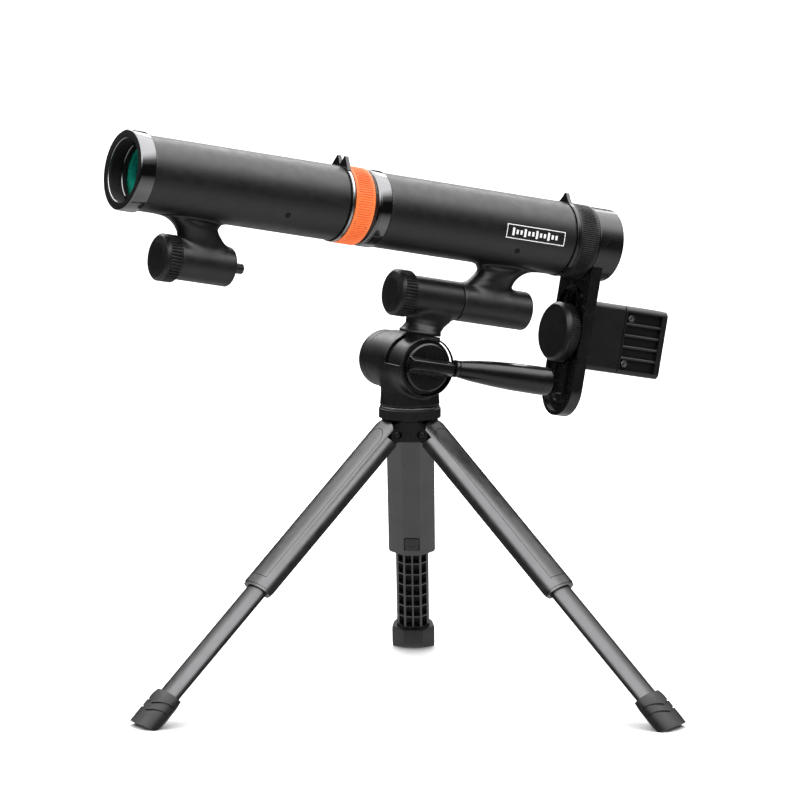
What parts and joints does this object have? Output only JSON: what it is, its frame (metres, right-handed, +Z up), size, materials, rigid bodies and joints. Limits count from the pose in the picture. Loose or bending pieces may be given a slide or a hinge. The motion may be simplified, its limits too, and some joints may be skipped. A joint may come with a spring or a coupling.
{
  "type": "telescope on tripod",
  "caption": "Long joined monocular with focus rings and a phone clip, held by a pan and tilt head on a folding tabletop tripod.",
  "frame": {"origin": "on the floor below the middle of the overall length", "axes": "+Z up, -X towards the objective end, +X towards the eye end and the phone clip, the handle on the -Y side"},
  "size_m": [0.3709, 0.3278, 0.3538],
  "materials": {
    "black_plastic": "matte",
    "satin_black": "satin",
    "tube_black": "satin",
    "leg_grey": "satin",
    "rubber": "matte",
    "bright_ring": "polished",
    "steel": "satin",
    "orange": "satin",
    "coated_glass": "gloss"
  },
  "bodies": {
    "base": {"hub": "black_plastic", "hinge_pin_1": "steel", "hinge_pin_2": "steel", "hinge_pin_3": "steel", "pan_bolt": "steel", "pan_washer": "satin_black"},
    "leg_1": {"upper_leg_1": "leg_grey", "leg_panel_1": "leg_grey"},
    "lower_leg_1": {"lower_leg_1": "leg_grey", "foot_1": "rubber"},
    "lock_button_1": {"lock_button_1": "black_plastic"},
    "leg_2": {"upper_leg_2": "leg_grey", "leg_panel_2": "leg_grey"},
    "lower_leg_2": {"lower_leg_2": "leg_grey", "foot_2": "rubber"},
    "lock_button_2": {"lock_button_2": "black_plastic"},
    "leg_3": {"upper_leg_3": "leg_grey", "leg_panel_3": "leg_grey"},
    "lower_leg_3": {"lower_leg_3": "leg_grey", "foot_3": "rubber"},
    "lock_button_3": {"lock_button_3": "black_plastic"},
    "pan_head": {"pan_body": "black_plastic"},
    "tilt_head": {"tilt_drum": "satin_black", "tilt_shaft": "steel", "tilt_cap": "black_plastic", "handle_root": "satin_black", "adapter": "black_plastic", "mount_stud": "steel"},
    "handle": {"handle_stud": "steel", "handle_grip": "satin_black"},
    "adapter_clamp": {"adapter_knob": "black_plastic", "adapter_screw": "steel"},
    "telescope": {"rear_tube": "tube_black", "rear_ring": "bright_ring", "rear_objective": "coated_glass", "rear_sight_ring": "satin_black", "rear_eyepiece": "rubber", "front_tube": "tube_black", "front_ring": "bright_ring", "front_objective": "coated_glass", "front_sight_ring": "satin_black", "front_eyepiece": "satin_black"},
    "front_clamp": {"front_knob": "black_plastic", "front_screw": "steel"},
    "front_focus": {"front_focus_ring": "orange"},
    "front_cell": {"front_lens_cell": "satin_black", "front_eye_lens": "coated_glass"},
    "rear_focus": {"rear_focus_ring": "black_plastic"},
    "rear_cell": {"rear_lens_cell": "satin_black", "rear_eye_lens": "coated_glass"},
    "phone_arm": {"phone_arm": "satin_black"},
    "phone_carriage": {"phone_stud": "steel"},
    "phone_nut": {"phone_knob": "satin_black"},
    "clip": {"clip_body": "black_plastic", "clip_pad_fixed": "rubber"},
    "clip_jaw": {"clip_slider": "black_plastic", "clip_rod_upper": "steel", "clip_rod_lower": "steel", "clip_pad_moving": "rubber"}
  },
  "joints": [
    {"name": "leg_1_fold", "type": "hinge", "parent": "base", "child": "leg_1", "pos_m": [0.01975, 0.01221, 0.1634], "axis": [-0.866, 0.5, 0], "range_deg": [0, 45]},
    {"name": "leg_1_extend", "type": "slide", "parent": "leg_1", "child": "lower_leg_1", "axis": [0.3556, 0.616, -0.7029], "range_m": [-0.078, 0]},
    {"name": "lock_button_1_press", "type": "slide", "parent": "leg_1", "child": "lock_button_1", "axis": [0.3514, 0.6087, 0.7113], "range_m": [0, 0.0009], "stiffness_N_per_m": 400},
    {"name": "leg_2_fold", "type": "hinge", "parent": "base", "child": "leg_2", "pos_m": [-0.0014, 0, 0.1634], "axis": [0, -1, 0], "range_deg": [0, 45]},
    {"name": "leg_2_extend", "type": "slide", "parent": "leg_2", "child": "lower_leg_2", "axis": [-0.7113, 0, -0.7029], "range_m": [-0.078, 0]},
    {"name": "lock_button_2_press", "type": "slide", "parent": "leg_2", "child": "lock_button_2", "axis": [-0.7029, 0, 0.7113], "range_m": [0, 0.0009], "stiffness_N_per_m": 400},
    {"name": "leg_3_fold", "type": "hinge", "parent": "base", "child": "leg_3", "pos_m": [0.01975, -0.01221, 0.1634], "axis": [0.866, 0.5, 0], "range_deg": [0, 45]},
    {"name": "leg_3_extend", "type": "slide", "parent": "leg_3", "child": "lower_leg_3", "axis": [0.3556, -0.616, -0.7029], "range_m": [-0.078, 0]},
    {"name": "lock_button_3_press", "type": "slide", "parent": "leg_3", "child": "lock_button_3", "axis": [0.3514, -0.6087, 0.7113], "range_m": [0, 0.0009], "stiffness_N_per_m": 400},
    {"name": "pan", "type": "hinge", "parent": "base", "child": "pan_head", "pos_m": [0.0127, 0, 0.1783], "axis": [0, 0, 1], "continuous": true},
    {"name": "tilt", "type": "hinge", "parent": "pan_head", "child": "tilt_head", "pos_m": [0.0127, 0, 0.2045], "axis": [0, 1, 0], "range_deg": [-40, 20]},
    {"name": "handle_twist", "type": "hinge", "parent": "tilt_head", "child": "handle", "pos_m": [0.03272, -0.0277, 0.20276], "axis": [0.9827, 0, -0.1852], "range_deg": [-90, 90]},
    {"name": "adapter_clamp_turn", "type": "hinge", "parent": "tilt_head", "child": "adapter_clamp", "pos_m": [0.02035, -0.006, 0.24509], "axis": [0.9827, 0, -0.1852], "range_deg": [-180, 180]},
    {"name": "telescope_swing", "type": "hinge", "parent": "tilt_head", "child": "telescope", "pos_m": [0.02035, -0.006, 0.24509], "axis": [0.9827, 0, -0.1852], "range_deg": [-45, 45]},
    {"name": "front_clamp_turn", "type": "hinge", "parent": "telescope", "child": "front_clamp", "pos_m": [-0.14671, -0.006, 0.27656], "axis": [0.9827, 0, -0.1852], "range_deg": [-180, 180]},
    {"name": "front_focus_turn", "type": "hinge", "parent": "telescope", "child": "front_focus", "pos_m": [-0.03341, -0.006, 0.30274], "axis": [0.9827, 0, -0.1852], "range_deg": [-120, 120]},
    {"name": "front_cell_travel", "type": "slide", "parent": "telescope", "child": "front_cell", "axis": [0.9827, 0, -0.1852], "range_m": [-0.002, 0.002]},
    {"name": "rear_focus_turn", "type": "hinge", "parent": "telescope", "child": "rear_focus", "pos_m": [0.12137, -0.006, 0.27357], "axis": [0.9827, 0, -0.1852], "range_deg": [-120, 120]},
    {"name": "rear_cell_travel", "type": "slide", "parent": "telescope", "child": "rear_cell", "axis": [0.9827, 0, -0.1852], "range_m": [-0.002, 0.002]},
    {"name": "phone_arm_swivel", "type": "hinge", "parent": "telescope", "child": "phone_arm", "pos_m": [0.13208, -0.006, 0.27156], "axis": [0.9827, 0, -0.1852], "range_deg": [-90, 90]},
    {"name": "clip_height", "type": "slide", "parent": "phone_arm", "child": "phone_carriage", "axis": [0.1852, 0, 0.9827], "range_m": [-0.03, 0.004]},
    {"name": "phone_nut_turn", "type": "hinge", "parent": "phone_carriage", "child": "phone_nut", "pos_m": [0.11281, -0.006, 0.21841], "axis": [0.9827, 0, -0.1852], "range_deg": [-180, 180]},
    {"name": "clip_swivel", "type": "hinge", "parent": "phone_carriage", "child": "clip", "pos_m": [0.12873, -0.006, 0.21541], "axis": [0.9827, 0, -0.1852], "range_deg": [-90, 90]},
    {"name": "clip_open", "type": "slide", "parent": "clip", "child": "clip_jaw", "axis": [0.9827, 0, -0.1852], "range_m": [0, 0.03], "stiffness_N_per_m": 120, "springref_m": -0.004}
  ],
  "couplings": [
    {"joint": "front_cell_travel", "follows": "front_focus_turn", "m_per_rad": 0.0009},
    {"joint": "rear_cell_travel", "follows": "rear_focus_turn", "m_per_rad": 0.0009}
  ]
}
